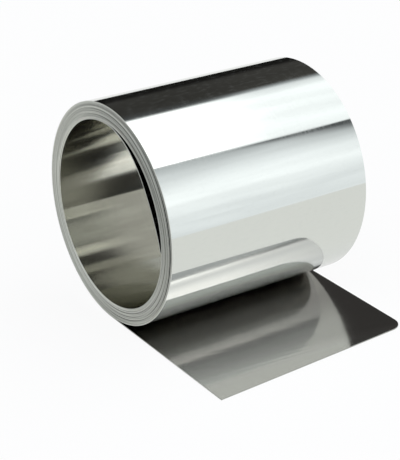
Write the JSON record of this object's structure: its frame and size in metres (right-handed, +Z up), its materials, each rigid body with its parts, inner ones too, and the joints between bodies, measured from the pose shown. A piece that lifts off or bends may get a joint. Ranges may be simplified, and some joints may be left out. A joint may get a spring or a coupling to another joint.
{
  "type": "aluminium strip roll",
  "caption": "Roll of thin bright aluminium strip lying on its side, open bore, with the free end of the strip laid out flat under it.",
  "frame": {"origin": "on the floor, midway along the roll's width and midway between the back of the roll and the free end", "axes": "+X along the roll's axis, -Y towards the free end, +Z up"},
  "size_m": [0.1, 0.132, 0.098],
  "materials": {
    "aluminium": "bright mirror rolled faces, matt slit edges"
  },
  "bodies": {
    "root": {"strip": "aluminium"}
  },
  "joints": []
}
